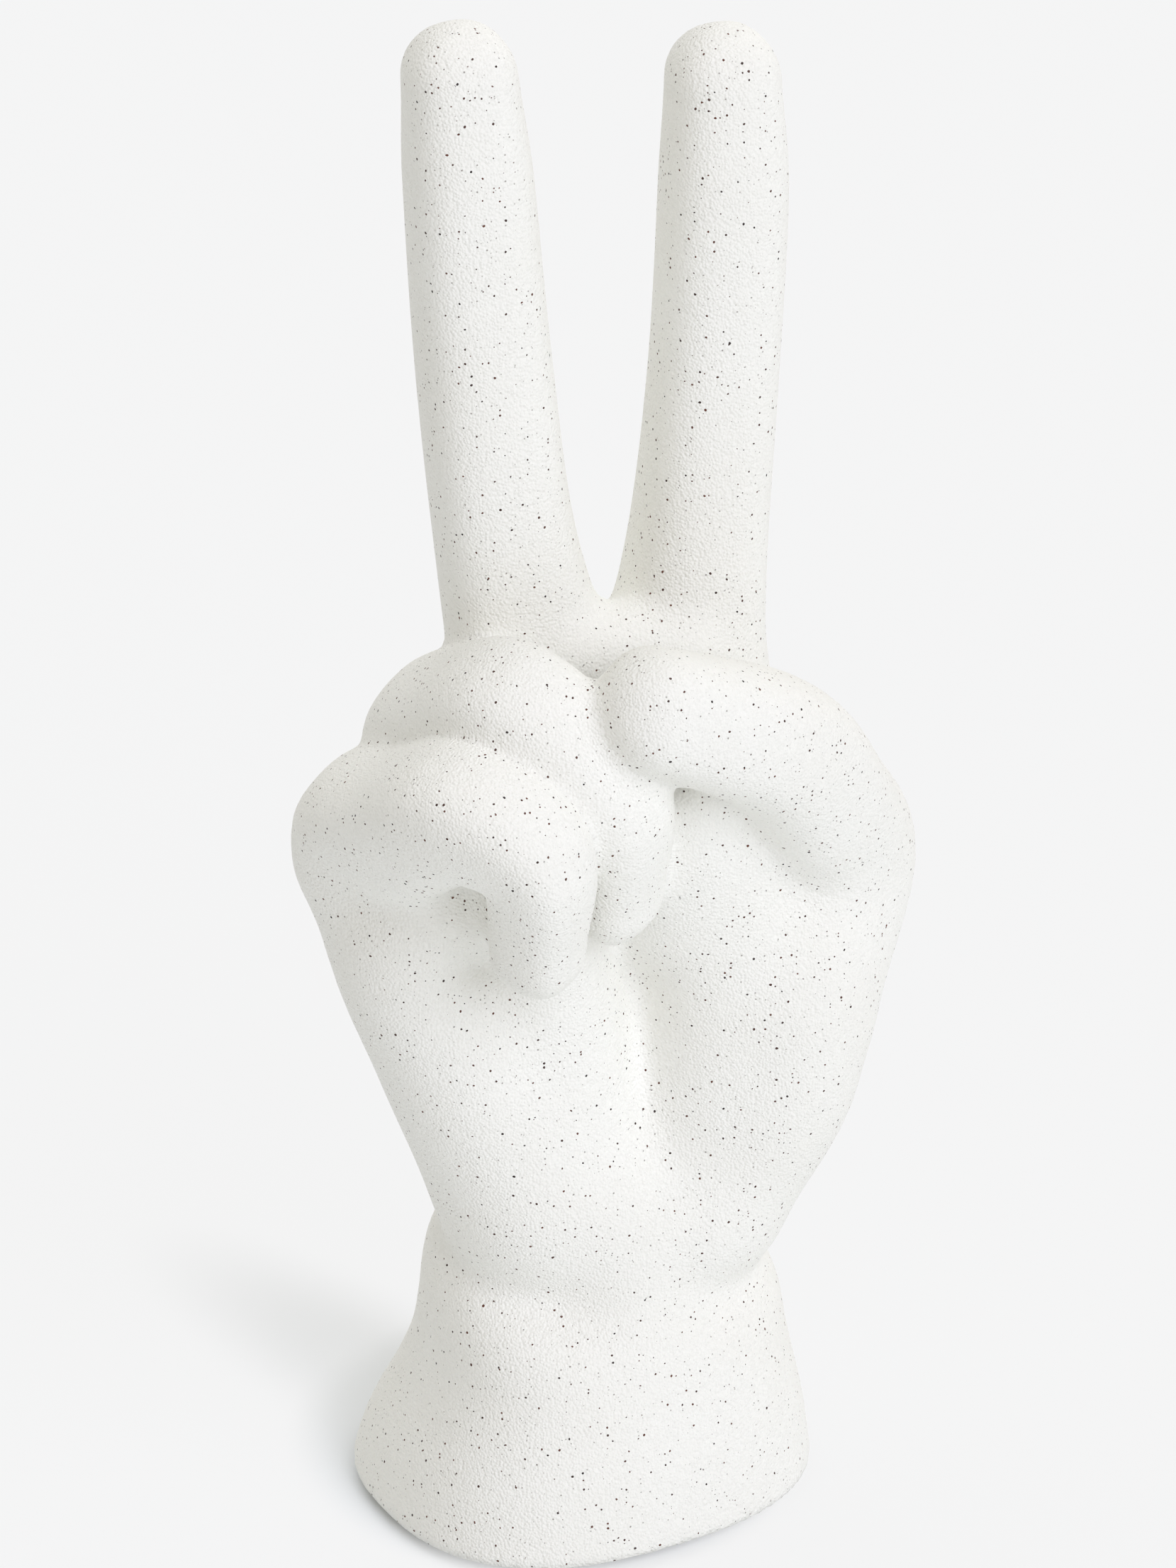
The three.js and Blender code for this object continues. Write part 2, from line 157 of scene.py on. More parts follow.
# Light
# Soft studio light: a warm room all round, a broad cool lamp at the right in front of the hand, a softbox
# above it, and a lit backdrop behind it at the right. A linear level of 1 lights a card to full white.
CARD_WHITE = math.pi
ROOM_LIGHT = (0.375, 0.35, 0.302)
SOFT_LAMPS = {
    "key": {"azimuth": 23, "elevation": 35, "width": 50, "light": (0.492, 0.502, 0.565)},
    "overhead": {"azimuth": -150, "elevation": 65, "width": 50, "light": (0.272, 0.281, 0.3)},
    "backdrop": {"azimuth": 135, "elevation": 15, "width": 70, "light": (0.196, 0.194, 0.194)},
}

world = bpy.data.worlds.new("studio")
world.use_nodes = True
tree = world.node_tree
tree.nodes.clear()
room_light = add_node(tree, "ShaderNodeBackground", {"Color": (*ROOM_LIGHT, 1), "Strength": 1})
room_seen = add_node(tree, "ShaderNodeBackground", {"Color": linear(FLOOR_COLOUR), "Strength": 1})
room = add_node(tree, "ShaderNodeMixShader",
                {0: seen_share(tree), 1: room_light.outputs[0], 2: room_seen.outputs[0]})
add_node(tree, "ShaderNodeOutputWorld", {"Surface": room.outputs[0]})
bpy.context.scene.world = world

for name, lamp in SOFT_LAMPS.items():
    azimuth, elevation = math.radians(lamp["azimuth"]), math.radians(lamp["elevation"])
    back = Vector((
        math.sin(azimuth) * math.cos(elevation),
        -math.cos(azimuth) * math.cos(elevation),
        math.sin(elevation),
    ))
    lamp_data = bpy.data.lights.new(name, "SUN")
    lamp_data.energy = CARD_WHITE
    lamp_data.color = lamp["light"]
    lamp_data.angle = math.radians(lamp["width"])
    lamp_object = bpy.data.objects.new(name, lamp_data)
    lamp_object.rotation_euler = back.to_track_quat("Z", "Y").to_euler()
    bpy.context.scene.collection.objects.link(lamp_object)
bpy.context.scene.view_settings.view_transform = "Standard"

# Palm and wrist
# The main casting: slip-cast white stoneware, hollow, on a wrist that flares to an oval foot. Its form is
# modelled as rolls of clay along the bones, each with a radius at every joint, pressed into one another.
FOOT_UNDERSIDE = 1.8
FOOT_ROUND = 2
PALM_BLEND = 12
LIFE_LINE_BLEND = 9
WRIST_BLEND = 9
ROLL_LENGTHS = 6
FAR_AWAY = 1000
LEAST_SQUARE = 1e-9

# Joints of each roll from the wrist to the knuckle: across, depth, height, radius
PALM_ROLLS = {
    "index_metacarpal": [[10, 5, 60, 12.5], [19, 4, 148, 13]],
    "middle_metacarpal": [[2, 6, 60, 12.5], [-4, 5, 150, 13]],
    "ring_metacarpal": [[-6, 5, 60, 12.5], [-22, 4, 142, 12]],
    "little_metacarpal": [[-15, 2, 72, 12], [-38.5, 0, 126, 11.5]],
    "heel": [[-10, -7.5, 58, 14.5], [16, -7.5, 55.5, 15]],
    "tendons": [[0, -9, 62, 13], [4, -11, 38, 14]],
    "hypothenar": [[-13.5, -7, 67, 15.8], [-23.7, -7.5, 92, 15], [-32.5, -8.5, 114, 12.5],
                   [-28, -13, 125, 11]],
    "mid_palm": [[-5, -6.5, 70, 13.5], [-9.5, -9.5, 100, 12], [-13, -14, 119, 11]],
}

# Rolls of the ball of the thumb, which the crease of the life line sets off from the palm
THENAR_ROLLS = {
    "thenar": [[20, -6.5, 58, 14.5], [31, -11.5, 80, 13.8], [34.5, -12.5, 101, 13], [37, -9, 117, 12]],
    "thenar_slope": [[15, -6.5, 66, 13], [20.5, -9, 86, 13.5], [22, -10, 108, 13], [22, -12, 128, 12]],
    "cup": [[13, -10, 116, 11], [12.5, -16, 131, 10.5], [13, -18, 140, 10]],
}

# Oval sections of the wrist from the foot upwards: height, across, depth, half width, half depth
WRIST_SECTIONS = np.array([
    [-8, -0.8, 0, 40.6, 35.8],
    [2, -0.7, 0, 39.8, 34.8],
    [8, -0.3, 0, 38.8, 33.5],
    [14, 0.3, -0.5, 37.4, 31.8],
    [22, 1.2, -1.4, 34.8, 29.2],
    [30, 1.8, -2, 32.6, 26.8],
    [38, 2, -2.1, 31.7, 24.9],
    [47, 2, -1.5, 30.8, 23.7],
    [66, 2, -1, 30, 22],
])
WRIST_TOP = 50
WRIST_SLANT_ACROSS = -0.13
WRIST_SLANT_DEPTH = 0.3
OVAL_POWER = 2.5
FOOT_TURN = math.radians(13)
WRIST_TOP_ROUND = 14


def blend(a, b, width):
    """The lower of two distances, with the corner between them filled over a width."""
    h = np.maximum(width - np.abs(a - b), 0) / width
    return np.minimum(a, b) - h ** 3 * width / 6


def cubic(start, end, slope_in, slope_out, t):
    """A smooth curve between two values with a slope at each."""
    bend = 2 * start - 2 * end + slope_in + slope_out
    sweep = 3 * end - 3 * start - 2 * slope_in - slope_out
    return start + t * (slope_in + t * (sweep + t * bend))


def through(values, at):
    """A smooth curve through a row of values, at places counted along the row."""
    last = len(values) - 1
    i = np.clip(np.floor(at).astype(int), 0, last - 1)
    before = values[np.maximum(i - 1, 0)]
    after = values[np.minimum(i + 2, last)]
    start, end = values[i], values[i + 1]
    t = (at - i)[:, None]
    return cubic(start, end, (end - before) / 2, (after - start) / 2, t)


def bent(joints):
    """A roll in short straight lengths, bending smoothly through its joints."""
    joints = np.array(joints, float)
    centres = joints[:, :3]
    ends = np.vstack([2 * centres[0] - centres[1], centres, 2 * centres[-1] - centres[-2]])
    spans = np.sqrt(np.linalg.norm(np.diff(ends, axis=0), axis=1))
    t = np.linspace(0, 1, ROLL_LENGTHS, endpoint=False)[:, None]
    lengths = []
    for i in range(len(centres) - 1):
        p0, p1, p2, p3 = ends[i:i + 4]
        d0, d1, d2 = spans[i:i + 3]
        slope_in = d1 * ((p1 - p0) / d0 - (p2 - p0) / (d0 + d1) + (p2 - p1) / d1)
        slope_out = d1 * ((p2 - p1) / d1 - (p3 - p1) / (d1 + d2) + (p3 - p2) / d2)
        lengths.append(cubic(p1, p2, slope_in, slope_out, t))
    path = np.vstack(lengths + [centres[-1:]])
    girth = through(joints[:, 3:], np.linspace(0, len(joints) - 1, len(path)))
    return np.hstack([path, girth])


def roll(lengths, points, flatness=0, side=(1, 0, 0)):
    """The distance of points from the skin of a roll, whose four faces about a side may be flattened."""
    nearest = np.full(len(points), np.inf)
    for a, b in zip(lengths, lengths[1:]):
        axis = b[:3] - a[:3]
        length = np.linalg.norm(axis)
        slant = (a[3] - b[3]) / length
        axis /= length
        out = points - a[:3]
        along = out @ axis
        away = np.maximum((out * out).sum(1) - along ** 2, LEAST_SQUARE)
        if flatness:
            flank = side - axis * (axis @ side)
            aside = np.minimum((out @ (flank / np.linalg.norm(flank))) ** 2, away)
            away = away - flatness * aside * (1 - aside / away)
        away = np.sqrt(away)
        foot = np.clip(along - away * slant / math.sqrt(1 - slant ** 2), 0, length)
        nearest = np.minimum(nearest, np.hypot(away, along - foot) - a[3] + slant * foot)
    return nearest


def oval(x, y, half_width, half_depth):
    """How far out a place lies on the foot's turned oval: 1 on its edge."""
    u = (x * math.cos(FOOT_TURN) + y * math.sin(FOOT_TURN)) / half_width
    v = (y * math.cos(FOOT_TURN) - x * math.sin(FOOT_TURN)) / half_depth
    return (np.abs(u) ** OVAL_POWER + np.abs(v) ** OVAL_POWER) ** (1 / OVAL_POWER)


def wrist(points):
    """The distance of points from the skin of the wrist and foot."""
    heights = WRIST_SECTIONS[:, 0]
    at = np.interp(points[:, 2], heights, np.arange(len(heights)))
    across, depth, half_width, half_depth = through(WRIST_SECTIONS[:, 1:], at).T
    out = oval(points[:, 0] - across, points[:, 1] - depth, half_width, half_depth)
    side = (out - 1) * np.minimum(half_width, half_depth)
    top = WRIST_TOP + WRIST_SLANT_ACROSS * points[:, 0] + WRIST_SLANT_DEPTH * points[:, 1]
    return -blend(-side, top - points[:, 2], WRIST_TOP_ROUND)


palm_rolls = [bent(joints) for joints in PALM_ROLLS.values()]
thenar_rolls = [bent(joints) for joints in THENAR_ROLLS.values()]


def pressed(rolls, points):
    """The distance of points from the skin of rolls that are pressed into one mass."""
    distance = np.full(len(points), FAR_AWAY, float)
    for lengths in rolls:
        distance = blend(distance, roll(lengths, points), PALM_BLEND)
    return distance


def palm_and_wrist(points):
    """The distance of points from the skin of the main casting."""
    palm = blend(pressed(palm_rolls, points), pressed(thenar_rolls, points), LIFE_LINE_BLEND)
    return blend(palm, wrist(points), WRIST_BLEND)


# Raised fingers
# The index and middle finger: two hollow castings, luted to their knuckles with slip and sponged smooth. A
# web of skin between their roots closes the gap behind the fist.
FINGER_BLEND = 8
WEB_BLEND = 5

# How much the four faces of a digit are flattened, and the way that one of them looks
FLATNESS = 0.6
RAISED_SIDE = (1, 0, 0)

# Joints of each finger from the knuckle to the tip: across, depth, height, radius
RAISED_FINGERS = {
    "index_finger": [[18, 5, 148, 13.5], [21.1, 5, 176, 11.3], [23.3, 4.2, 206, 10.5],
                     [24.2, 2.5, 240, 10.3], [23.8, 2, 257.5, 9.2]],
    "middle_finger": [[-6.5, 6, 150, 13.8], [-12.5, 5, 180, 11.6], [-16.2, 4, 212, 11],
                      [-19, 2.5, 246, 10.3], [-20.3, 2, 262, 9.2]],
}
WEB = [[-3, -2, 158.5, 9], [15, -2, 158.5, 9]]

raised_rolls = [bent(joints) for joints in RAISED_FINGERS.values()]
web_roll = bent(WEB)


def raised_fingers(points):
    """The distance of points from the skin of the raised fingers and the web between them."""
    index, middle = [roll(lengths, points, FLATNESS, RAISED_SIDE) for lengths in raised_rolls]
    return blend(blend(index, middle, FINGER_BLEND), roll(web_roll, points), WEB_BLEND)


# Folded fingers
# The ring and little finger: hollow castings too, bent at both joints with their tips pressed into the
# palm. Slip fills the pocket behind the little finger's tip.
FOLDED_BLEND = 5.5
CREASE_BLEND = 3
POCKET_BLEND = 5
FOLDED_FINGERS = {
    "ring_finger": [[-22, 4, 140, 11], [-25, 3, 145.5, 11.6], [-23, -11, 155.5, 10.8],
                    [-18, -23.5, 161, 10.8], [-5, -31, 147, 9.6], [-3, -25, 126.5, 8.3]],
    "little_finger": [[-36.5, 0, 126, 11], [-38.5, -3, 133.5, 11.8], [-34.5, -17, 140, 12],
                      [-29, -32.5, 148.5, 11], [-20.3, -40, 143, 9.2], [-17.8, -34, 122, 7.4]],
}
RING_SIDE = (0.74, 0.44, 0.5)
LITTLE_SIDE = (0.75, 0.55, 0.36)
POCKET = [[-22.5, -21.5, 134, 4.5], [-20.5, -25, 125, 5.5]]

folded_rolls = [bent(joints) for joints in FOLDED_FINGERS.values()]
pocket_roll = bent(POCKET)


def folded_fingers(points):
    """The distance of points from the skin of the folded fingers and the slip in the pocket."""
    ring, little = [
        roll(lengths, points, FLATNESS, side)
        for lengths, side in zip(folded_rolls, (RING_SIDE, LITTLE_SIDE))
    ]
    return blend(ring, blend(little, roll(pocket_roll, points), POCKET_BLEND), CREASE_BLEND)


# Thumb
# A hollow casting, luted to the ball of the thumb. It grows out of it and folds across, and its tip rests
# on the ring finger.
THUMB_BLEND = 6
THUMB_SIDE = (0.37, -0.93, 0)
THUMB = [[33, -8, 96, 15], [42, -5, 118, 13.6], [34.3, -17, 136.3, 12.4], [25.7, -25.5, 150, 11.8],
         [13.5, -31, 158, 11], [2.5, -34, 163.5, 10.2]]

thumb_roll = bent(THUMB)


def thumb(points):
    """The distance of points from the skin of the thumb."""
    return roll(thumb_roll, points, FLATNESS, THUMB_SIDE)


# Luting the castings
# The castings are pressed together with slip and the seams are wiped flush, so the skin runs on from one to
# the next. Each one is still its own hollow shell, with a wall and a rim where it meets its neighbours.
WALL = 3
SLIP_LINE = 0.3
PLATE_HALF_WIDTH = 24
PLATE_HALF_DEPTH = 20

# The skin is found on a lattice of cells, in coarse blocks first, inside a box with room for the foot
SKIN_CELL = 1.4
COARSE_STEP = 4
FOOT_ROOM = 60
FIELD_CHUNK = 20000
SETTLE_ROUNDS = 6
SEAM_ROUNDS = 6
NO_CASTING = -1


def hand(points):
    """The distance of points from the skin of the whole hand, which stands flat on its underside."""
    open_hand = blend(palm_and_wrist(points), thumb(points), THUMB_BLEND)
    open_hand = blend(open_hand, raised_fingers(points), FINGER_BLEND)
    fist = blend(open_hand, folded_fingers(points), FOLDED_BLEND)
    return -blend(-fist, points[:, 2] - FOOT_UNDERSIDE, FOOT_ROUND)


def in_chunks(field, points):
    """The same field, a few points at a time, which is quicker."""
    pieces = np.array_split(points, len(points) // FIELD_CHUNK + 1)
    return np.concatenate([field(piece) for piece in pieces])


def lattice_skin(field, low, high, cell):
    """Quads round the places where a field is below zero, with a corner in each lattice cell they cross."""
    blocks = np.ceil((high - low) / (cell * COARSE_STEP)).astype(int) + 1
    counts = blocks * COARSE_STEP
    lattice = low + cell * np.stack(np.meshgrid(*[np.arange(n) for n in counts], indexing="ij"), -1)
    middles = lattice[::COARSE_STEP, ::COARSE_STEP, ::COARSE_STEP] + cell * (COARSE_STEP - 1) / 2
    values = in_chunks(field, middles.reshape(-1, 3)).reshape(blocks)
    for axis in range(3):
        values = values.repeat(COARSE_STEP, axis)
    near = np.abs(values) < cell * COARSE_STEP
    values[near] = in_chunks(field, lattice[near])
    inside = values < 0
    x, y, z = counts - 1
    shifts = list(itertools.product((0, 1), repeat=3))
    corners_in = sum(inside[i:i + x, j:j + y, k:k + z].astype(int) for i, j, k in shifts)
    crossed = (corners_in > 0) & (corners_in < len(shifts))
    number = np.full(crossed.shape, -1)
    number[crossed] = np.arange(crossed.sum())
    quads = []
    for axis in range(3):
        steps = np.eye(3, dtype=int)[[(axis + 1) % 3, (axis + 2) % 3]]
        first = inside.take(np.arange(counts[axis] - 1), axis)
        second = inside.take(np.arange(1, counts[axis]), axis)
        edges = np.argwhere(first != second)
        around = [edges - a * steps[0] - b * steps[1] for a, b in ((0, 0), (1, 0), (1, 1), (0, 1))]
        quad = np.stack([number[tuple(cells.T)] for cells in around], 1)
        outward = first[tuple(edges.T)]
        quads.append(np.where(outward[:, None], quad, quad[:, ::-1]))
    return low + cell * (np.argwhere(crossed) + 0.5), np.vstack(quads)


def corner_sums(quads, values, count):
    """The sum, at each corner, of the values of the quads round it."""
    return np.stack([
        np.bincount(quads.ravel(), np.repeat(column, 4), count) for column in values.T
    ], 1)


def facing(points, quads):
    """The area vector of each quad, and the unit normal at each corner."""
    a, b, c, d = points[quads].transpose(1, 0, 2)
    area = np.cross(c - a, d - b) / 2
    normals = corner_sums(quads, area, len(points))
    return area, normals / np.linalg.norm(normals, axis=1)[:, None]


all_rolls = np.vstack([*palm_rolls, *thenar_rolls, *raised_rolls, *folded_rolls, thumb_roll])
reach = all_rolls[:, 3].max() + 2 * SKIN_CELL
foot_low = [-FOOT_ROOM, -FOOT_ROOM, FOOT_UNDERSIDE - 2 * SKIN_CELL]
foot_high = [FOOT_ROOM, FOOT_ROOM, 0]
skin_low = np.minimum(all_rolls[:, :3].min(0) - reach, foot_low)
skin_high = np.maximum(all_rolls[:, :3].max(0) + reach, foot_high)
points, quads = lattice_skin(hand, skin_low, skin_high, SKIN_CELL)
quads_round = np.bincount(quads.ravel(), minlength=len(points))[:, None]
for settle_round in range(SETTLE_ROUNDS):
    centres = points[quads].mean(1)
    points = corner_sums(quads, centres, len(points)) / quads_round
    normals = facing(points, quads)[1]
    points -= normals * in_chunks(hand, points)[:, None]

# Each quad goes to the casting whose solid lies nearest. The distances are smoothed, so a seam runs true.
castings = ["palm_and_wrist", *RAISED_FINGERS, *FOLDED_FINGERS, "thumb"]
nearest = []
centres = points[quads].mean(1) * MM
for name in castings:
    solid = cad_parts[name].data
    solid_skin = BVHTree.FromPolygons([v.co for v in solid.vertices], [p.vertices for p in solid.polygons])
    nearest.append([solid_skin.find_nearest(centre)[3] for centre in centres])
nearest = np.array(nearest).T
for seam_round in range(SEAM_ROUNDS):
    nearest = (corner_sums(quads, nearest, len(points)) / quads_round)[quads].mean(1)
owner = nearest.argmin(1)

# The drain opening in the underside, where the foot plate sits
across, depth, height = centres.T / MM
under = np.abs(height - FOOT_UNDERSIDE) < SKIN_CELL / 2
in_plate = oval(across, depth, PLATE_HALF_WIDTH + SLIP_LINE, PLATE_HALF_DEPTH + SLIP_LINE) < 1
owner[under & in_plate] = NO_CASTING

# Seams drawn out into smooth lines, and the quads beside them evened out
edges = np.stack([quads, np.roll(quads, -1, 1)], -1).reshape(-1, 2)
edge_owner = np.repeat(owner, 4)
order = np.lexsort((edges.max(1), edges.min(1)))
pairs = order.reshape(-1, 2)
seam_edges = edges[pairs[edge_owner[pairs[:, 0]] != edge_owner[pairs[:, 1]], 0]]
on_seam = np.zeros(len(points), bool)
on_seam[seam_edges] = True
both_ways = np.vstack([seam_edges, seam_edges[:, ::-1]])
seam_count = np.maximum(np.bincount(both_ways[:, 0], minlength=len(points)), 1)[:, None]
for seam_round in range(SEAM_ROUNDS):
    beside = np.stack([
        np.bincount(both_ways[:, 0], points[both_ways[:, 1], axis], len(points)) for axis in range(3)
    ], 1) / seam_count
    relaxed = corner_sums(quads, points[quads].mean(1), len(points)) / quads_round
    points = np.where(on_seam[:, None], (points + beside) / 2, relaxed)
    normals = facing(points, quads)[1]
    points -= normals * in_chunks(hand, points)[:, None]
normals = facing(points, quads)[1]


def casting_mesh(name, faces):
    """A closed shell from the quads of one casting: its skin, its inner wall, and its rim."""
    used, corners = np.unique(faces, return_inverse=True)
    outer = corners.reshape(-1, 4)
    inner = outer[:, ::-1] + len(used)
    edges = np.stack([outer, np.roll(outer, -1, 1)], -1).reshape(-1, 2)
    keys = edges.min(1) * len(used) + edges.max(1)
    first, uses = np.unique(keys, return_index=True, return_counts=True)[1:]
    open_edges = edges[first[uses == 1]]
    rim = np.hstack([open_edges[:, ::-1], open_edges + len(used)])
    places = np.vstack([points[used], points[used] - WALL * normals[used]])
    polygons = np.vstack([outer, inner, rim])
    mesh = bpy.data.meshes.new(name)
    mesh.from_pydata(places * MM, [], polygons)
    rim_facing = facing(places, rim)[0]
    rim_facing /= np.linalg.norm(rim_facing, axis=1)[:, None]
    corner_normals = np.vstack([
        normals[used][outer.ravel()],
        -normals[used][inner.ravel() - len(used)],
        np.repeat(rim_facing, 4, 0),
    ])
    mesh.shade_smooth()
    mesh.normals_split_custom_set(corner_normals)
    return mesh


glazed = []
for number, name in enumerate(castings):
    shell_mesh = casting_mesh(name + "_glazed", quads[owner == number])
    shell = bpy.data.objects.new(name + "_glazed", shell_mesh)
    bpy.context.scene.collection.objects.link(shell)
    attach(shell, "root")
    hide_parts(name)
    glazed.append(shell)

# Glaze
# One dip in a matte white glaze over the luted hand, with iron-bearing grit in it: the grit burns through
# as fine dark specks, and the fired skin is dry and a little sandy.
GLAZE_COLOUR = "#fafaf5"
GLAZE_THIN_COLOUR = "#f4f3ec"
SPECK_DARK = "#241c1a"
SPECK_RUST = "#6a4232"
SPECK_FAINT = "#8d8780"
GLAZE_IOR = 1.5
GLAZE_SMOOTHEST = 0.55
GLAZE_DRIEST = 0.75
POOL = {"size": 25, "detail": 2}
DARK_SPECKS = {"spacing": 0.95, "share": 0.6, "largest": 0.25, "soft": 0.04}
FAINT_SPECKS = {"spacing": 0.8, "share": 0.7, "largest": 0.22, "soft": 0.16}
RAGGED = {"size": 0.5, "reach": 0.2, "detail": 0}
GRAIN = {"size": 0.47, "height": 0.2, "roundness": 0.3}

# Matte stoneware glaze: soft broad sheen, no mirror, white with a breath of warm grey where it runs thin
glaze, tree, surface = new_material("speckled_matte_glaze")
place = add_node(tree, "ShaderNodeTexCoord").outputs["Object"]

pools = add_node(tree, "ShaderNodeTexNoise", {
    "Vector": place, "Scale": 1 / (POOL["size"] * MM), "Detail": POOL["detail"]
})
body = add_node(tree, "ShaderNodeMix", {
    0: pools.outputs[0], 6: linear(GLAZE_THIN_COLOUR), 7: linear(GLAZE_COLOUR)
}, data_type="RGBA")

# Grit melts unevenly, so each speck has a ragged edge
wander = add_node(tree, "ShaderNodeTexNoise", {
    "Vector": place, "Scale": 1 / (RAGGED["size"] * MM), "Detail": RAGGED["detail"]
})
ragged = add_node(tree, "ShaderNodeVectorMath", {
    0: wander.outputs["Color"], 1: [RAGGED["reach"] * MM] * 3, 2: place
}, operation="MULTIPLY_ADD").outputs[0]


def specks(spacing, share, largest, soft):
    """A mask of specks of mixed size in a share of the cells of a loose lattice, and their random value."""
    cells = add_node(tree, "ShaderNodeTexVoronoi", {"Vector": ragged, "Scale": 1 / (spacing * MM)})
    random = add_node(tree, "ShaderNodeSeparateColor", {0: cells.outputs["Color"]})
    radius = add_node(tree, "ShaderNodeMapRange", {
        "Value": random.outputs[0], "From Min": 1 - share, "From Max": 1,
        "To Min": 0, "To Max": largest / spacing
    })
    depth = add_node(tree, "ShaderNodeMath", {0: radius.outputs[0], 1: cells.outputs["Distance"]},
                     operation="SUBTRACT")
    mask = add_node(tree, "ShaderNodeMapRange", {
        "Value": depth.outputs[0], "From Min": 0, "From Max": soft / spacing, "To Min": 0, "To Max": 1
    })
    return mask.outputs[0], random.outputs[1]


faint_mask = specks(**FAINT_SPECKS)[0]
faint = add_node(tree, "ShaderNodeMix", {0: faint_mask, 6: body.outputs[2], 7: linear(SPECK_FAINT)},
                 data_type="RGBA")
dark_mask, dark_random = specks(**DARK_SPECKS)
iron = add_node(tree, "ShaderNodeMix", {0: dark_random, 6: linear(SPECK_DARK), 7: linear(SPECK_RUST)},
                data_type="RGBA")
colour = add_node(tree, "ShaderNodeMix", {0: dark_mask, 6: faint.outputs[2], 7: iron.outputs[2]},
                  data_type="RGBA")

# Sandy skin: round grains, a little smoother on their tops. Finer sand wouldn't show, so the grains are
# drawn as coarse as they need to be.
grit = add_node(tree, "ShaderNodeTexVoronoi", {
    "Vector": place, "Scale": 1 / (GRAIN["size"] * MM), "Smoothness": GRAIN["roundness"]
}, feature="SMOOTH_F1")
bump = add_node(tree, "ShaderNodeBump", {
    "Height": grit.outputs["Distance"], "Distance": GRAIN["height"] * MM, "Strength": 1
}, invert=True)
dryness = add_node(tree, "ShaderNodeMapRange", {
    "Value": grit.outputs["Distance"], "To Min": GLAZE_SMOOTHEST, "To Max": GLAZE_DRIEST
})
fired = add_node(tree, "ShaderNodeBsdfPrincipled", {
    "Base Color": colour.outputs[2], "Roughness": dryness.outputs[0], "IOR": GLAZE_IOR,
    "Normal": bump.outputs[0]
})
tree.links.new(fired.outputs[0], surface)
for shell in glazed:
    shell.data.materials.append(glaze)

# Foot plate
# A bare stoneware disc luted into the rebate round the drain, with a hole that lets out the kiln gases. Its
# solid has the right shape, so it only gets its finish.
BARE_COLOUR = "#d6cfc2"
BARE_DARK_COLOUR = "#c4bbab"
BARE_ROUGHNESS = 0.9
CLAY_SAND = {"size": 1.2, "height": 0.2, "detail": 3}

# Bare fired clay: dull, sandy and warm
bare, tree, surface = new_material("bare_stoneware")
place = add_node(tree, "ShaderNodeTexCoord").outputs["Object"]
sand = add_node(tree, "ShaderNodeTexNoise", {
    "Vector": place, "Scale": 1 / (CLAY_SAND["size"] * MM), "Detail": CLAY_SAND["detail"]
})
clay = add_node(tree, "ShaderNodeMix", {
    0: sand.outputs[0], 6: linear(BARE_DARK_COLOUR), 7: linear(BARE_COLOUR)
}, data_type="RGBA")
bump = add_node(tree, "ShaderNodeBump", {
    "Height": sand.outputs[0], "Distance": CLAY_SAND["height"] * MM, "Strength": 1
})
biscuit = add_node(tree, "ShaderNodeBsdfPrincipled", {
    "Base Color": clay.outputs[2], "Roughness": BARE_ROUGHNESS, "Normal": bump.outputs[0]
})
tree.links.new(biscuit.outputs[0], surface)
foot_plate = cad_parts["foot_plate"]
foot_plate.data.materials.clear()
foot_plate.data.materials.append(bare)

# Felt sole
# A piece of grey wool felt, cut to the foot's oval with a soft round edge. It is glued underneath, so that
# the stoneware doesn't scratch what it stands on.
FELT_HALF_WIDTH = 34
FELT_HALF_DEPTH = 29.5
FELT_THICKNESS = 1.5
FELT_EDGE = 0.5
FELT_EDGE_STEPS = 7
FELT_RINGS = (0.35, 0.7, 0.9)
FELT_SIDES = 120
FELT_COLOUR = "#6f7074"
FELT_DARK_COLOUR = "#55565b"
FELT_ROUGHNESS = 1
FELT_SHEEN = 0.3
FIBRE = {"size": 0.35, "height": 0.3, "detail": 4, "tangle": 2}

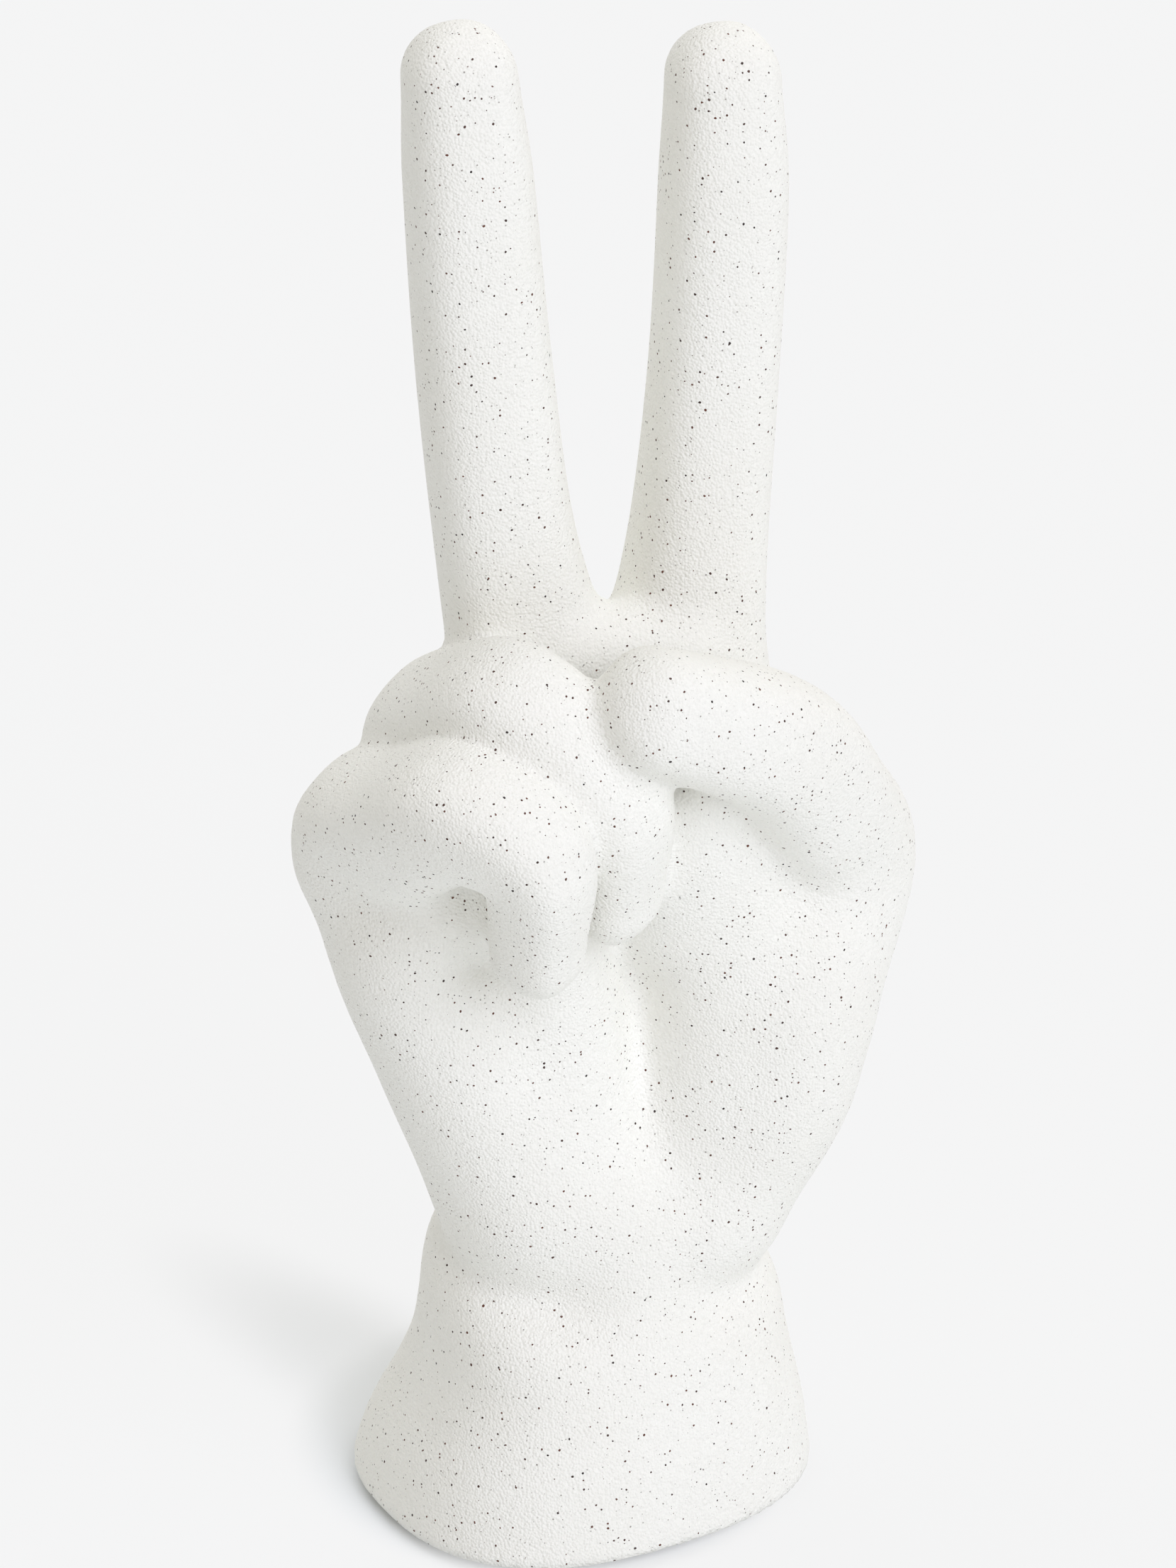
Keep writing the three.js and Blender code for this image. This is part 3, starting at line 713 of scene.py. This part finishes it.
# Wool felt: no gloss, a soft sheen at the edge, and a tangle of short fibres
felt, tree, surface = new_material("wool_felt")
place = add_node(tree, "ShaderNodeTexCoord").outputs["Object"]
fibres = add_node(tree, "ShaderNodeTexNoise", {
    "Vector": place, "Scale": 1 / (FIBRE["size"] * MM),
    "Detail": FIBRE["detail"], "Distortion": FIBRE["tangle"]
})
wool = add_node(tree, "ShaderNodeMix", {
    0: fibres.outputs[0], 6: linear(FELT_DARK_COLOUR), 7: linear(FELT_COLOUR)
}, data_type="RGBA")
bump = add_node(tree, "ShaderNodeBump", {
    "Height": fibres.outputs[0], "Distance": FIBRE["height"] * MM, "Strength": 1
})
cloth = add_node(tree, "ShaderNodeBsdfPrincipled", {
    "Base Color": wool.outputs[2], "Roughness": FELT_ROUGHNESS, "Sheen Weight": FELT_SHEEN,
    "Normal": bump.outputs[0]
})
tree.links.new(cloth.outputs[0], surface)

# Rings from the middle of the underside, over the rounded edge, to the middle of the top
angles = np.linspace(0, 2 * np.pi, FELT_SIDES, endpoint=False) + FOOT_TURN
outward = np.stack([np.cos(angles), np.sin(angles)], 1)
radii = 1 / oval(outward[:, 0], outward[:, 1], FELT_HALF_WIDTH, FELT_HALF_DEPTH)[:, None]
ring_sizes = [(radii * share, 0) for share in FELT_RINGS]
for turn in np.linspace(-np.pi / 2, np.pi / 2, FELT_EDGE_STEPS):
    inward = FELT_EDGE * (1 - math.cos(turn))
    ring_sizes.append((radii - inward, FELT_THICKNESS / 2 * (1 + math.sin(turn))))
ring_sizes += [(radii * share, FELT_THICKNESS) for share in reversed(FELT_RINGS)]
rings = [np.hstack([outward * size, np.full((FELT_SIDES, 1), height)]) for size, height in ring_sizes]
places = np.vstack([*rings, [[0, 0, 0], [0, 0, FELT_THICKNESS]]])
here = np.arange(FELT_SIDES)
beside = np.roll(here, -1)
polygons = []
for number in range(len(rings) - 1):
    ring_start = number * FELT_SIDES
    next_start = ring_start + FELT_SIDES
    corners = [ring_start + here, ring_start + beside, next_start + beside, next_start + here]
    polygons += np.stack(corners, 1).tolist()
top_ring = (len(rings) - 1) * FELT_SIDES
under_middle, top_middle = len(places) - 2, len(places) - 1
polygons += [[under_middle, b, a] for a, b in zip(here.tolist(), beside.tolist())]
polygons += [[top_middle, top_ring + a, top_ring + b] for a, b in zip(here.tolist(), beside.tolist())]
felt_mesh = bpy.data.meshes.new("felt_pad")
felt_mesh.from_pydata(places * MM, [], polygons)
felt_mesh.shade_smooth()
felt_mesh.materials.append(felt)
felt_pad = bpy.data.objects.new("felt_pad", felt_mesh)
bpy.context.scene.collection.objects.link(felt_pad)
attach(felt_pad, "root")
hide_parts("felt_sole")
